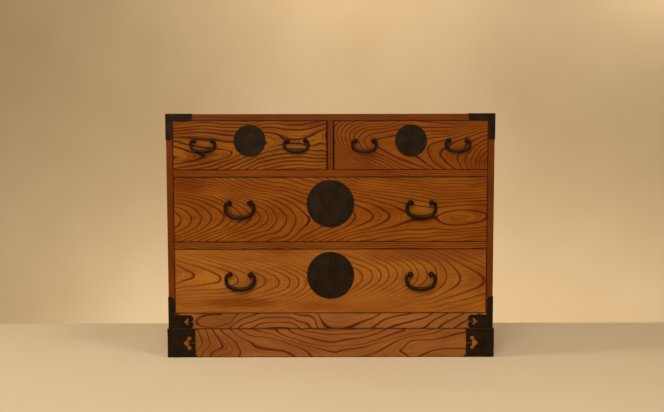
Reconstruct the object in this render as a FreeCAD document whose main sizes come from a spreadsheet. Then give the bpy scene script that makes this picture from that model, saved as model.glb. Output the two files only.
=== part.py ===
import FreeCAD, Part

import math
import os
import re

import Sketcher

# Clothing chest: a zelkova case on a separate base, four drawers, round iron lock plates, wrought bail
# handles and iron corner fittings. Millimetres. Z is up and the drawers face -Y. The origin is on the floor,
# at the middle of the whole object's width and depth.

Vector = FreeCAD.Vector
ACROSS = Vector(1, 0, 0)
DEEP = Vector(0, 1, 0)
UP = Vector(0, 0, 1)

# Driving dimensions, one named value each.
SIZES = (
    # Case
    ("case_width", 1212),
    ("case_depth", 455),
    ("board_thickness", 23),
    ("bottom_rail_height", 57),
    ("bottom_rail_thickness", 24),
    ("large_opening_height", 244),
    ("small_opening_height", 184),
    ("rail_height", 24),
    ("rail_depth", 46),
    ("dust_board_thickness", 12),
    ("bottom_board_thickness", 15),
    ("divider_thickness", 24),
    ("divider_tongue_thickness", 8),
    ("divider_tongue_height", 6),
    ("housing_depth", 8),
    ("housing_setback", 12),
    ("back_thickness", 8),
    ("back_lap", 12),
    ("back_seam", 0.4),
    ("frame_easing", 1),
    # Base
    ("base_height", 109),
    ("base_overhang", 4),
    ("base_rail_thickness", 28),
    ("glue_block_side", 34),
    ("glue_block_height", 90),
    # Drawers
    ("side_gap", 0.9),
    ("top_gap", 1),
    ("front_gap_below", 0.8),
    ("running_gap", 0.3),
    ("front_thickness", 21),
    ("front_lap", 8),
    ("drawer_side_thickness", 11),
    ("drawer_side_setdown", 4),
    ("drawer_back_thickness", 10),
    ("drawer_back_setdown", 12),
    ("drawer_back_housing", 5),
    ("drawer_bottom_thickness", 8),
    ("drawer_easing", 1.5),
    ("stop_width", 45),
    ("stop_height", 16),
    ("stop_depth", 18.7),
    ("stop_gap", 0.3),
    ("stop_inset", 60),
    # Lock plates and locks
    ("large_plate_diameter", 176),
    ("small_plate_diameter", 118),
    ("lock_plate_thickness", 1.8),
    ("lock_plate_easing", 0.6),
    ("large_plate_drop", 100),
    ("small_plate_drop", 75),
    ("large_key_drop", 47),
    ("small_key_drop", 40),
    ("keyhole_radius", 2.6),
    ("keyhole_slot_width", 2.2),
    ("keyhole_slot_length", 8),
    ("key_bore_radius", 9),
    ("key_swing_radius", 10),
    ("lock_case_width", 46),
    ("lock_case_setdown", 0.5),
    ("lock_wall", 1.6),
    ("bolt_width", 15),
    ("bolt_thickness", 6),
    ("bolt_shoulder_width", 30),
    ("bolt_shoulder_height", 9),
    ("bolt_play", 0.3),
    ("mortise_play", 1),
    ("mortise_depth", 11),
    # Large handles
    ("large_pull_drop", 97),
    ("large_pull_offset", 336),
    ("large_post_half_spacing", 39),
    ("large_post_standoff", 13.5),
    ("large_head_radius", 8),
    ("large_neck_radius", 5),
    ("large_rosette_radius", 10.5),
    ("large_rosette_face_radius", 8.5),
    ("large_rosette_thickness", 2),
    ("large_shank_radius", 3),
    ("large_clinch_radius", 7),
    ("large_clinch_thickness", 2),
    ("large_pin_radius", 3.4),
    ("large_knob_radius", 5),
    ("large_knob_length", 3),
    ("large_bail_radius", 5),
    ("large_bail_grip_radius", 6.6),
    ("large_bail_bend", 5.5),
    ("large_bail_corner", 36),
    ("large_bail_drop", 55),
    # Small handles
    ("small_pull_drop", 75),
    ("small_pull_offset", 172),
    ("small_post_half_spacing", 33.5),
    ("small_post_standoff", 11),
    ("small_head_radius", 6.3),
    ("small_neck_radius", 4),
    ("small_rosette_radius", 9),
    ("small_rosette_face_radius", 7),
    ("small_rosette_thickness", 2),
    ("small_shank_radius", 2.5),
    ("small_clinch_radius", 6),
    ("small_clinch_thickness", 2),
    ("small_pin_radius", 2.8),
    ("small_knob_radius", 4.2),
    ("small_knob_length", 2.6),
    ("small_bail_radius", 4),
    ("small_bail_grip_radius", 5.2),
    ("small_bail_bend", 4.5),
    ("small_bail_corner", 27),
    ("small_bail_drop", 40.5),
    # Fits shared by all handles
    ("pin_fit", 0.06),
    ("knob_gap", 0.4),
    ("shank_fit", 0.1),
    # Corner fittings
    ("fitting_thickness", 1.6),
    ("fitting_leg", 22),
    ("fitting_corner", 8),
    ("fitting_easing", 0.7),
    ("flap_depth", 44),
    ("bottom_flap_depth", 70),
    ("top_fitting_length", 97),
    ("top_fitting_height", 95),
    ("bottom_fitting_length", 91),
    ("bottom_fitting_height", 120),
    ("bottom_fitting_arm", 50.5),
    ("bottom_fitting_tip", 18),
    ("bottom_fitting_scallop", 12),
    ("bottom_fitting_gap", 0.5),
    ("base_fitting_margin", 1.5),
    ("base_fitting_top_length", 110),
    ("base_fitting_waist_length", 103),
    ("base_fitting_foot_length", 119),
    ("base_flap_depth", 84),
    # Spade openings in the fittings
    ("bottom_spade_tip", 55),
    ("bottom_spade_lobe", 70),
    ("bottom_spade_spread", 8.5),
    ("bottom_spade_lobe_radius", 4.2),
    ("base_spade_tip", 57),
    ("base_spade_lobe", 80),
    ("base_spade_spread", 18.5),
    ("base_spade_lobe_radius", 8),
    ("spade_slit", 2.4),
    # Nails
    ("nail_head_radius", 3.2),
    ("nail_head_height", 1.5),
    ("nail_shank_radius", 1.2),
    ("nail_length", 17),
    ("nail_hole_fit", 0.1),
    ("nail_edge_inset", 11),
    ("nail_far_inset", 17),
    # Length by which a cutting tool runs past the face that it cuts
    ("overrun", 2),
)

# Places that follow from the sizes.
PLACES = (
    ("half_width", "case_width / 2"),
    ("inner_x", "case_width / 2 - board_thickness"),
    ("inner_width", "case_width - 2 * board_thickness"),
    ("handle_reach", "large_post_standoff + large_head_radius"),
    ("front_y", "-(case_depth - handle_reach) / 2"),
    ("back_y", "front_y + case_depth"),
    ("planks_y", "back_y - back_thickness"),
    ("drawer_depth", "case_depth - back_thickness - stop_depth - stop_gap"),
    ("drawer_back_y", "front_y + drawer_depth"),
    ("lower_floor", "base_height + bottom_rail_height"),
    ("lower_rail_z", "lower_floor + large_opening_height"),
    ("middle_floor", "lower_rail_z + rail_height"),
    ("upper_rail_z", "middle_floor + large_opening_height"),
    ("upper_floor", "upper_rail_z + rail_height"),
    ("ceiling_z", "upper_floor + small_opening_height"),
    ("total_height", "ceiling_z + board_thickness"),
    ("base_half_width", "half_width + base_overhang"),
    ("base_front_y", "front_y - base_overhang"),
    ("small_opening_width", "(inner_width - divider_thickness) / 2"),
    ("small_centre", "(small_opening_width + divider_thickness) / 2"),
    ("lock_case_depth", "bolt_thickness + 2 * bolt_play + 2 * lock_wall"),
    ("lock_y", "front_y + front_thickness"),
    ("bolt_y", "lock_y + lock_wall + bolt_play"),
)

# Each drawer: name, centre, opening width, floor, opening height, handle and plate kind.
DRAWERS = (
    ("upper_left", "-small_centre", "small_opening_width", "upper_floor", "small_opening_height", "small"),
    ("upper_right", "small_centre", "small_opening_width", "upper_floor", "small_opening_height", "small"),
    ("middle", "0", "inner_width", "middle_floor", "large_opening_height", "large"),
    ("lower", "0", "inner_width", "lower_floor", "large_opening_height", "large"),
)

TOP_FINGERS = 5
BASE_FINGERS = 3
BACK_PLANKS = 5

# Formulas that several pieces share.
TOP_FINGER_WIDTH = "case_depth / " + str(TOP_FINGERS)
BASE_FINGER_HEIGHT = "base_height / " + str(BASE_FINGERS)
BASE_LEFT_X = "-base_half_width"
BASE_RIGHT_X = "base_half_width - base_rail_thickness"

# Largest distance between two places that count as one, as a share of the smallest fit.
SAME_PLACE_SHARE = 0.01
# Half height of a spade's straight shoulder past its lobes' centres, as a share of the lobe's radius.
SPADE_SHOULDER_SHARE = 0.55
# Depth and half height of a slit's flared mouth, as a share of the slit.
MOUTH_FLARE_SHARE = 2.4

doc = FreeCAD.newDocument("clothing_chest")
sheet = doc.addObject("Spreadsheet::Sheet", "Sizes")
nodes = []
rows = []


def set_row(alias, text):
    rows.append(alias)
    row = str(len(rows))
    sheet.set("A" + row, alias)
    sheet.set("B" + row, text)
    sheet.setAlias("B" + row, alias)


def fill_sheet():
    for alias, length in SIZES:
        set_row(alias, str(length))
    for alias, text in PLACES:
        set_row(alias, "=" + text)
    for name, centre, width, floor, height, kind in DRAWERS:
        set_row(name + "_centre", "=" + centre)
        set_row(name + "_width", "=" + width + " - 2 * side_gap")
        set_row(name + "_start", "=" + floor + " + front_gap_below")
        set_row(name + "_bottom", "=" + floor + " + running_gap")
        set_row(name + "_top", "=" + floor + " + " + height + " - top_gap")
        set_row(name + "_plate", "=" + floor + " + " + height + " - " + kind + "_plate_drop")
        set_row(name + "_key", "=" + floor + " + " + height + " - " + kind + "_key_drop")
        set_row(name + "_pull", "=" + floor + " + " + height + " - " + kind + "_pull_drop")
    doc.recompute()


def size(alias):
    return float(sheet.get(alias))


def formula(text):
    return re.sub(r"[a-z][a-z_]*[a-z]", lambda word: "Sizes." + word.group(), text)


def place(item, corner):
    for axis, text in zip("xyz", corner):
        item.setExpression("Placement.Base." + axis, formula(text))


def block(name, corner, extent):
    box = doc.addObject("Part::Box", name)
    for side, text in zip(("Length", "Width", "Height"), extent):
        box.setExpression(side, formula(text))
    place(box, corner)
    return box


def rod(name, start, direction, radius, length):
    cylinder = doc.addObject("Part::Cylinder", name)
    cylinder.Placement = FreeCAD.Placement(Vector(), FreeCAD.Rotation(UP, direction))
    cylinder.setExpression("Radius", formula(radius))
    cylinder.setExpression("Height", formula(length))
    place(cylinder, start)
    return cylinder


def fuse(name, pieces):
    union = doc.addObject("Part::MultiFuse", name)
    union.Shapes = pieces
    union.Refine = True
    return union


def cut(name, base, tools):
    tool = tools[0] if len(tools) == 1 else fuse(name + "_tools", tools)
    difference = doc.addObject("Part::Cut", name)
    difference.Base = base
    difference.Tool = tool
    difference.Refine = True
    return difference


def group(name, pieces):
    compound = doc.addObject("Part::Compound", name)
    compound.Links = pieces
    return compound


def keep(label, item):
    item.Label = label
    nodes.append(item)
    return item


def built(label, shape, position=Vector()):
    feature = doc.addObject("Part::Feature", label)
    feature.Shape = shape
    feature.Placement = FreeCAD.Placement(position, FreeCAD.Rotation())
    return keep(label, feature)


def eased(label, base, radius, chosen):
    """Round the edges of base that the function chosen accepts."""
    doc.recompute()
    fillet = doc.addObject("Part::Fillet", label)
    fillet.Base = base
    numbers = [number for number, edge in enumerate(base.Shape.Edges, 1) if chosen(edge)]
    fillet.Edges = [(number, size(radius), size(radius)) for number in numbers]
    return keep(label, fillet)


def near(first, second):
    """True where two places differ by less than a share of the smallest size in the sheet."""
    return abs(first - second) < size("pin_fit") * SAME_PLACE_SHARE


def straight_front_edge(edge, y, direction):
    """True for a straight edge in the plane of the given y that runs along direction."""
    if len(edge.Vertexes) < 2:
        return False
    start = edge.Vertexes[0].Point
    end = edge.Vertexes[-1].Point
    in_plane = near(start.y, y) and near(end.y, y)
    return in_plane and near(abs((end - start).dot(direction)), edge.Length)


# Case


def make_top_board():
    board = block(
        "top_board_blank",
        ("-half_width", "front_y", "ceiling_z"),
        ("case_width", "case_depth", "board_thickness"),
    )
    tools = [
        block(
            "top_board_rebate",
            ("-inner_x - back_lap", "planks_y", "ceiling_z - overrun"),
            ("inner_width + 2 * back_lap", "back_thickness + overrun", "back_lap + overrun"),
        ),
        block(
            "top_board_divider_groove",
            ("-divider_tongue_thickness / 2", "front_y + housing_setback", "ceiling_z - overrun"),
            ("divider_tongue_thickness", "case_depth - back_thickness - housing_setback",
             "divider_tongue_height + overrun"),
        ),
        mortise("top_board_left_mortise", "upper_left", "ceiling_z"),
        mortise("top_board_right_mortise", "upper_right", "ceiling_z"),
    ]
    for start in top_finger_starts():
        for side, x in (("left", "-half_width - overrun"), ("right", "inner_x")):
            tools.append(block(
                "top_board_" + side + "_notch",
                (x, start, "ceiling_z - overrun"),
                ("board_thickness + overrun", TOP_FINGER_WIDTH, "board_thickness + 2 * overrun"),
            ))
    shaped = cut("top_board_cut", board, tools)
    eased("top_board", shaped, "frame_easing", lambda edge: (
        straight_front_edge(edge, size("front_y"), ACROSS)
        and near(edge.Vertexes[0].Point.z, size("total_height"))
    ))


def top_finger_starts():
    """Formulas for the front of each finger that rises from a side board through the top board."""
    return ["front_y + " + str(finger) + " * " + TOP_FINGER_WIDTH for finger in range(1, TOP_FINGERS, 2)]


def mortise(name, drawer, underside):
    """Blind mortise above a drawer's lock bolt."""
    return block(
        name,
        (drawer + "_centre - bolt_width / 2 - mortise_play", "bolt_y - mortise_play",
         underside + " - overrun"),
        ("bolt_width + 2 * mortise_play", "bolt_thickness + 2 * mortise_play", "mortise_depth + overrun"),
    )


def make_side_board(label, x, inner_face_x):
    """x is the board's lesser x, and inner_face_x the lesser x of the housings cut in its inner face."""
    board = block(
        label + "_blank",
        (x, "front_y", "base_height"),
        ("board_thickness", "case_depth", "ceiling_z - base_height"),
    )
    fingers = [
        block(
            label + "_finger",
            (x, start, "ceiling_z"),
            ("board_thickness", TOP_FINGER_WIDTH, "board_thickness"),
        )
        for start in top_finger_starts()
    ]
    housings = [
        block(
            label + "_housing",
            (inner_face_x, "front_y + housing_setback", top + " - " + thickness),
            ("housing_depth + overrun", "case_depth - back_thickness - housing_setback", thickness),
        )
        for top, thickness in (
            ("lower_floor", "bottom_board_thickness"),
            ("middle_floor", "dust_board_thickness"),
            ("upper_floor", "dust_board_thickness"),
        )
    ]
    rebate_x = "inner_x - overrun" if inner_face_x.startswith("inner_x") else "-inner_x - back_lap"
    rebate = block(
        label + "_rebate",
        (rebate_x, "planks_y", "base_height - overrun"),
        ("back_lap + overrun", "back_thickness + overrun", "ceiling_z - base_height + back_lap + overrun"),
    )
    shaped = cut(label + "_cut", fuse(label + "_joined", [board] + fingers), housings + [rebate])
    eased(label, shaped, "frame_easing", lambda edge: straight_front_edge(edge, size("front_y"), UP))


def make_bottom_board():
    board = block(
        "bottom_board",
        ("-inner_x - housing_depth", "front_y + bottom_rail_thickness",
         "lower_floor - bottom_board_thickness"),
        ("inner_width + 2 * housing_depth", "case_depth - bottom_rail_thickness - back_thickness",
         "bottom_board_thickness"),
    )
    keep("bottom_board", board)


def make_dust_board(label, top, grooved):
    board = block(
        label + "_blank" if grooved else label,
        ("-inner_x - housing_depth", "front_y + rail_depth", top + " - dust_board_thickness"),
        ("inner_width + 2 * housing_depth", "case_depth - rail_depth - back_thickness",
         "dust_board_thickness"),
    )
    if not grooved:
        return keep(label, board)
    groove = block(
        label + "_groove",
        ("-divider_tongue_thickness / 2", "front_y + rail_depth - overrun",
         top + " - divider_tongue_height"),
        ("divider_tongue_thickness", "case_depth - rail_depth - back_thickness + 2 * overrun",
         "divider_tongue_height + overrun"),
    )
    return keep(label, cut(label, board, [groove]))


def make_rail(label, drawer, underside, thickness, height, tongue_height, locked):
    """Front rail between the side boards, with a hidden tongue at each end at its top edge."""
    rail = block(
        label + "_bar",
        ("-inner_x", "front_y", underside),
        ("inner_width", thickness, height),
    )
    tongue = block(
        label + "_tongue",
        ("-inner_x - housing_depth", "front_y + housing_setback",
         underside + " + " + height + " - " + tongue_height),
        ("inner_width + 2 * housing_depth", thickness + " - housing_setback", tongue_height),
    )
    shaped = fuse(label + "_joined", [rail, tongue])
    if locked:
        shaped = cut(label + "_cut", shaped, [mortise(label + "_mortise", drawer, underside)])
    eased(label, shaped, "frame_easing", lambda edge: straight_front_edge(edge, size("front_y"), ACROSS))


def make_divider():
    panel = block(
        "centre_divider_panel",
        ("-divider_thickness / 2", "front_y", "upper_floor"),
        ("divider_thickness", "case_depth - back_thickness", "small_opening_height"),
    )
    top_tongue = block(
        "centre_divider_top_tongue",
        ("-divider_tongue_thickness / 2", "front_y + housing_setback", "ceiling_z"),
        ("divider_tongue_thickness", "case_depth - back_thickness - housing_setback",
         "divider_tongue_height"),
    )
    foot_tongue = block(
        "centre_divider_foot_tongue",
        ("-divider_tongue_thickness / 2", "front_y + rail_depth", "upper_floor - divider_tongue_height"),
        ("divider_tongue_thickness", "case_depth - rail_depth - back_thickness", "divider_tongue_height"),
    )
    joined = fuse("centre_divider_joined", [panel, top_tongue, foot_tongue])
    eased("centre_divider", joined, "frame_easing", lambda edge: (
        straight_front_edge(edge, size("front_y"), UP)
    ))


def make_back_boards():
    span = "(ceiling_z + back_lap - base_height - " + str(BACK_PLANKS - 1) + " * back_seam)"
    height = span + " / " + str(BACK_PLANKS)
    planks = [
        block(
            "back_plank",
            ("-inner_x - back_lap", "planks_y",
             "base_height + " + str(plank) + " * (" + height + " + back_seam)"),
            ("inner_width + 2 * back_lap", "back_thickness", height),
        )
        for plank in range(BACK_PLANKS)
    ]
    keep("back_boards", group("back_boards", planks))


def make_drawer_stops():
    stops = []
    for name, centre, width, floor, height, kind in DRAWERS:
        for side in ("-", "+"):
            stops.append(block(
                name + "_stop",
                (name + "_centre " + side + " (" + name + "_width / 2 - stop_inset) - stop_width / 2",
                 "drawer_back_y + stop_gap", floor),
                ("stop_width", "stop_depth", "stop_height"),
            ))
    keep("drawer_stops", group("drawer_stops", stops))


# Base


def base_finger(name, corner_x, corner_y, finger):
    """One finger-high block in a corner of the base frame."""
    return block(
        name,
        (corner_x, corner_y, str(finger) + " * " + BASE_FINGER_HEIGHT),
        ("base_rail_thickness", "base_rail_thickness", BASE_FINGER_HEIGHT),
    )


def make_base_cross_rail(label, y):
    """Front or back rail: full width, its middle finger left out at each end."""
    rail = block(
        label + "_blank",
        ("-base_half_width", y, "0"),
        ("2 * base_half_width", "base_rail_thickness", "base_height"),
    )
    tools = [
        base_finger(label + "_notch", x, y, finger)
        for x in (BASE_LEFT_X, BASE_RIGHT_X)
        for finger in range(1, BASE_FINGERS, 2)
    ]
    shaped = cut(label + "_cut", rail, tools)
    eased(label, shaped, "frame_easing", lambda edge: (
        near(edge.Vertexes[0].Point.z, size("base_height"))
        and (straight_front_edge(edge, size("base_front_y"), ACROSS)
             or straight_front_edge(edge, size("back_y"), ACROSS))
    ))


def make_base_side_rails():
    rails = []
    for side, x in (("left", BASE_LEFT_X), ("right", BASE_RIGHT_X)):
        rail = block(
            "base_" + side + "_rail_blank",
            (x, "base_front_y", "0"),
            ("base_rail_thickness", "back_y - base_front_y", "base_height"),
        )
        tools = [
            base_finger("base_" + side + "_notch", x, y, finger)
            for y in ("base_front_y", "back_y - base_rail_thickness")
            for finger in range(0, BASE_FINGERS, 2)
        ]
        rails.append(cut("base_" + side + "_rail", rail, tools))
    keep("base_side_rails", group("base_side_rails", rails))


def make_glue_blocks():
    inner_left = "-base_half_width + base_rail_thickness"
    inner_right = "base_half_width - base_rail_thickness - glue_block_side"
    blocks = [
        block(
            "glue_block",
            (x, y, "(base_height - glue_block_height) / 2"),
            ("glue_block_side", "glue_block_side", "glue_block_height"),
        )
        for x in (inner_left, inner_right)
        for y in ("base_front_y + base_rail_thickness", "back_y - base_rail_thickness - glue_block_side")
    ]
    keep("base_glue_blocks", group("base_glue_blocks", blocks))


# Drawers


def make_front(name, kind):
    label = name + "_drawer_front"
    front = block(
        label + "_blank",
        (name + "_centre - " + name + "_width / 2", "front_y", name + "_start"),
        (name + "_width", "front_thickness", name + "_top - " + name + "_start"),
    )
    inner_y = "front_y + front_lap"
    inner_depth = "front_thickness - front_lap + overrun"
    tools = [
        block(
            label + "_bottom_rebate",
            (name + "_centre - " + name + "_width / 2 - overrun", inner_y, name + "_start - overrun"),
            (name + "_width + 2 * overrun", inner_depth,
             name + "_bottom - " + name + "_start + drawer_bottom_thickness + overrun"),
        ),
        rod(
            label + "_key_bore",
            (name + "_centre", "front_y - overrun", name + "_key"),
            DEEP, "key_bore_radius", "front_thickness + 2 * overrun",
        ),
    ]
    for x in (name + "_centre - " + name + "_width / 2 - overrun",
              name + "_centre + " + name + "_width / 2 - drawer_side_thickness"):
        tools.append(block(
            label + "_side_rebate",
            (x, inner_y, name + "_start - overrun"),
            ("drawer_side_thickness + overrun", inner_depth,
             name + "_top - drawer_side_setdown - " + name + "_start + overrun"),
        ))
    for x in post_places(name, kind):
        tools.append(rod(
            label + "_post_bore",
            (x, "front_y - overrun", name + "_pull"),
            DEEP, kind + "_shank_radius + shank_fit", "front_thickness + 2 * overrun",
        ))
    shaped = cut(label + "_cut", front, tools)
    eased(label, shaped, "drawer_easing", lambda edge: (
        straight_front_edge(edge, size("front_y"), ACROSS) or straight_front_edge(edge, size("front_y"), UP)
    ))


def post_places(name, kind):
    """Formulas for the x of the four handle posts of a drawer."""
    return [
        name + "_centre " + side + " " + kind + "_pull_offset " + post + " " + kind + "_post_half_spacing"
        for side in ("-", "+")
        for post in ("-", "+")
    ]


def make_drawer_box(name):
    outer = name + "_width"
    left = name + "_centre - " + name + "_width / 2"
    right = name + "_centre + " + name + "_width / 2"
    floor = name + "_bottom + drawer_bottom_thickness"
    side_y = "front_y + front_lap"
    side_top = name + "_top - drawer_side_setdown"
    keep(name + "_drawer_bottom", block(
        name + "_drawer_bottom",
        (left, side_y, name + "_bottom"),
        (outer, "drawer_depth - front_lap", "drawer_bottom_thickness"),
    ))
    back_y = "drawer_back_y - drawer_back_thickness"
    back_top = side_top + " - drawer_back_setdown"
    sides = []
    for x, housing_x in (
        (left, left + " + drawer_side_thickness - drawer_back_housing"),
        (right + " - drawer_side_thickness", right + " - drawer_side_thickness - overrun"),
    ):
        board = block(
            name + "_drawer_side_blank",
            (x, side_y, floor),
            ("drawer_side_thickness", "drawer_depth - front_lap", side_top + " - (" + floor + ")"),
        )
        housing = block(
            name + "_drawer_side_housing",
            (housing_x, back_y, floor + " - overrun"),
            ("drawer_back_housing + overrun", "drawer_back_thickness + overrun",
             back_top + " - (" + floor + ") + overrun"),
        )
        sides.append(cut(name + "_drawer_side", board, [housing]))
    keep(name + "_drawer_sides", group(name + "_drawer_sides", sides))
    keep(name + "_drawer_back", block(
        name + "_drawer_back",
        (left + " + drawer_side_thickness - drawer_back_housing", back_y, floor),
        (outer + " - 2 * drawer_side_thickness + 2 * drawer_back_housing", "drawer_back_thickness",
         back_top + " - (" + floor + ")"),
    ))


def attach(sketch, body, role):
    plane = [feature for feature in body.Origin.OriginFeatures if feature.Role == role][0]
    sketch.AttachmentSupport = [(plane, "")]
    sketch.MapMode = "FlatFace"


def make_lock_plate(name, kind):
    """Flat round plate with a keyhole on its upright centre line."""
    label = name + "_lock_plate"
    body = doc.addObject("PartDesign::Body", label)
    body.Label = label
    place(body, (name + "_centre", "front_y", name + "_plate"))
    outline = body.newObject("Sketcher::SketchObject", label + "_outline")
    attach(outline, body, "XZ_Plane")
    outline.addGeometry(Part.Circle(Vector(), UP, size(kind + "_plate_diameter") / 2))
    outline.addConstraint(Sketcher.Constraint("Coincident", 0, 3, -1, 1))
    outline.addConstraint(Sketcher.Constraint("Diameter", 0, size(kind + "_plate_diameter")))
    outline.setExpression("Constraints[1]", formula(kind + "_plate_diameter"))
    disc = body.newObject("PartDesign::Pad", label + "_disc")
    disc.Profile = outline
    disc.setExpression("Length", formula("lock_plate_thickness"))
    doc.recompute()
    keyhole = body.newObject("Sketcher::SketchObject", label + "_keyhole")
    attach(keyhole, body, "XZ_Plane")
    draw_keyhole(keyhole, name)
    opening = body.newObject("PartDesign::Pocket", label + "_opening")
    opening.Profile = keyhole
    opening.Type = "ThroughAll"
    opening.Midplane = True
    doc.recompute()
    rim = [
        "Edge" + str(number)
        for number, edge in enumerate(opening.Shape.Edges, 1)
        if is_rim(edge, size(kind + "_plate_diameter") / 2)
    ]
    easing = body.newObject("PartDesign::Fillet", label + "_easing")
    easing.Base = (opening, rim)
    easing.setExpression("Radius", formula("lock_plate_easing"))
    body.Tip = easing
    nodes.append(body)


def is_rim(edge, radius):
    """True for the rim of a lock plate's outer face, in the plate's own frame."""
    curve = edge.Curve
    return isinstance(curve, Part.Circle) and near(curve.Radius, radius) and curve.Center.y < 0


def draw_keyhole(sketch, name):
    """A round hole over a slot, drawn as one closed outline of an arc and three lines."""
    radius = size("keyhole_radius")
    half_slot = size("keyhole_slot_width") / 2
    slot_foot = size("keyhole_slot_length")
    height = size(name + "_key") - size(name + "_plate")
    shoulder = (radius ** 2 - half_slot ** 2) ** 0.5
    corners = [
        Vector(-half_slot, height - shoulder, 0),
        Vector(-half_slot, height - slot_foot, 0),
        Vector(half_slot, height - slot_foot, 0),
        Vector(half_slot, height - shoulder, 0),
    ]
    for start, end in zip(corners, corners[1:]):
        sketch.addGeometry(Part.LineSegment(start, end))
    sketch.addGeometry(Part.Arc(corners[-1], Vector(0, height + radius, 0), corners[0]))


def make_lock(name):
    """Iron lock case behind the drawer front, and the bolt that the key lifts into the rail above."""
    top = name + "_top - lock_case_setdown"
    foot = name + "_key - key_swing_radius - lock_wall"
    turn_top = name + "_key + key_swing_radius"
    case_block = block(
        name + "_lock_case_blank",
        (name + "_centre - lock_case_width / 2", "lock_y", foot),
        ("lock_case_width", "lock_case_depth", top + " - (" + foot + ")"),
    )
    hollow_depth = "bolt_thickness + 2 * bolt_play"
    hollow_y = "lock_y + lock_wall"
    tools = [
        block(
            name + "_key_room",
            (name + "_centre - key_swing_radius", hollow_y, name + "_key - key_swing_radius"),
            ("2 * key_swing_radius", hollow_depth, "2 * key_swing_radius + bolt_play"),
        ),
        block(
            name + "_shoulder_room",
            (name + "_centre - bolt_shoulder_width / 2 - bolt_play", hollow_y, turn_top),
            ("bolt_shoulder_width + 2 * bolt_play", hollow_depth, top + " - lock_wall - (" + turn_top + ")"),
        ),
        block(
            name + "_bolt_slot",
            (name + "_centre - bolt_width / 2 - bolt_play", hollow_y, turn_top),
            ("bolt_width + 2 * bolt_play", hollow_depth, top + " + overrun - (" + turn_top + ")"),
        ),
        rod(
            name + "_case_keyhole",
            (name + "_centre", "lock_y - overrun", name + "_key"),
            DEEP, "keyhole_radius", "lock_wall + 2 * overrun",
        ),
    ]
    keep(name + "_lock_case", cut(name + "_lock_case", case_block, tools))
    seat = turn_top + " + bolt_play"
    stem = block(
        name + "_bolt_stem",
        (name + "_centre - bolt_width / 2", "bolt_y", seat),
        ("bolt_width", "bolt_thickness", top + " - (" + seat + ")"),
    )
    shoulder = block(
        name + "_bolt_shoulder",
        (name + "_centre - bolt_shoulder_width / 2", "bolt_y", seat),
        ("bolt_shoulder_width", "bolt_thickness", "bolt_shoulder_height"),
    )
    keep(name + "_lock_bolt", fuse(name + "_lock_bolt", [stem, shoulder]))


# Handles


def make_handle_posts(name, kind):
    """Four wrought posts, each with a round pierced head, and the rosette that each clamps to the wood."""
    pieces = []
    face_y = "front_y - " + kind + "_post_standoff"
    seat_y = "front_y - " + kind + "_rosette_thickness"
    bore_half = kind + "_head_radius + overrun"
    for x in post_places(name, kind):
        head = doc.addObject("Part::Sphere", name + "_post_head")
        head.setExpression("Radius", formula(kind + "_head_radius"))
        place(head, (x, face_y, name + "_pull"))
        neck = rod(
            name + "_post_neck", (x, face_y, name + "_pull"),
            DEEP, kind + "_neck_radius", kind + "_post_standoff - " + kind + "_rosette_thickness",
        )
        shank = rod(
            name + "_post_shank", (x, seat_y, name + "_pull"),
            DEEP, kind + "_shank_radius",
            kind + "_rosette_thickness + front_thickness + " + kind + "_clinch_thickness",
        )
        clinch = rod(
            name + "_post_clinch", (x, "front_y + front_thickness", name + "_pull"),
            DEEP, kind + "_clinch_radius", kind + "_clinch_thickness",
        )
        bore = rod(
            name + "_post_eye", (x + " - (" + bore_half + ")", face_y, name + "_pull"),
            ACROSS, kind + "_pin_radius + pin_fit", "2 * (" + bore_half + ")",
        )
        post = cut(name + "_post", fuse(name + "_post_joined", [head, neck, shank, clinch]), [bore])
        rosette = doc.addObject("Part::Cone", name + "_rosette_blank")
        rosette.Placement = FreeCAD.Placement(Vector(), FreeCAD.Rotation(UP, -DEEP))
        rosette.setExpression("Radius1", formula(kind + "_rosette_radius"))
        rosette.setExpression("Radius2", formula(kind + "_rosette_face_radius"))
        rosette.setExpression("Height", formula(kind + "_rosette_thickness"))
        place(rosette, (x, "front_y", name + "_pull"))
        hole = rod(
            name + "_rosette_hole", (x, "front_y + overrun", name + "_pull"),
            -DEEP, kind + "_shank_radius + shank_fit", kind + "_rosette_thickness + 2 * overrun",
        )
        pieces.append(post)
        pieces.append(cut(name + "_rosette", rosette, [hole]))
    keep(name + "_handle_posts", group(name + "_handle_posts", pieces))


def bail_half(kind):
    """The right half of a bail whose pins lie on the X axis: pin, knob, bend, arm and lower corner."""
    half_spacing = size(kind + "_post_half_spacing")
    head = size(kind + "_head_radius")
    knob_length = size(kind + "_knob_length")
    bend = size(kind + "_bail_bend")
    corner = size(kind + "_bail_corner")
    drop = size(kind + "_bail_drop")
    outside = half_spacing + head + size("knob_gap")
    inside = half_spacing - head - size("knob_gap")
    arm_x = outside + bend
    half_turn_share = 0.5 ** 0.5
    pin = Part.makeCylinder(size(kind + "_pin_radius"), outside - inside, Vector(inside, 0, 0), ACROSS)
    knob = Part.makeCylinder(size(kind + "_knob_radius"), knob_length, Vector(inside, 0, 0), -ACROSS)
    bend_middle = Vector(outside + bend * half_turn_share, 0, -bend * (1 - half_turn_share))
    corner_x = arm_x - corner
    corner_z = -drop + corner
    corner_middle = Vector(corner_x + corner * half_turn_share, 0, corner_z - corner * half_turn_share)
    path = Part.Wire([
        Part.Arc(Vector(outside, 0, 0), bend_middle, Vector(arm_x, 0, -bend)).toShape(),
        Part.makeLine(Vector(arm_x, 0, -bend), Vector(arm_x, 0, corner_z)),
        Part.Arc(Vector(arm_x, 0, corner_z), corner_middle, Vector(corner_x, 0, -drop)).toShape(),
    ])
    section = Part.Wire(Part.makeCircle(size(kind + "_bail_radius"), Vector(outside, 0, 0), ACROSS))
    arm = path.makePipeShell([section], True, False)
    return pin, knob, arm, corner_x


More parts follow.
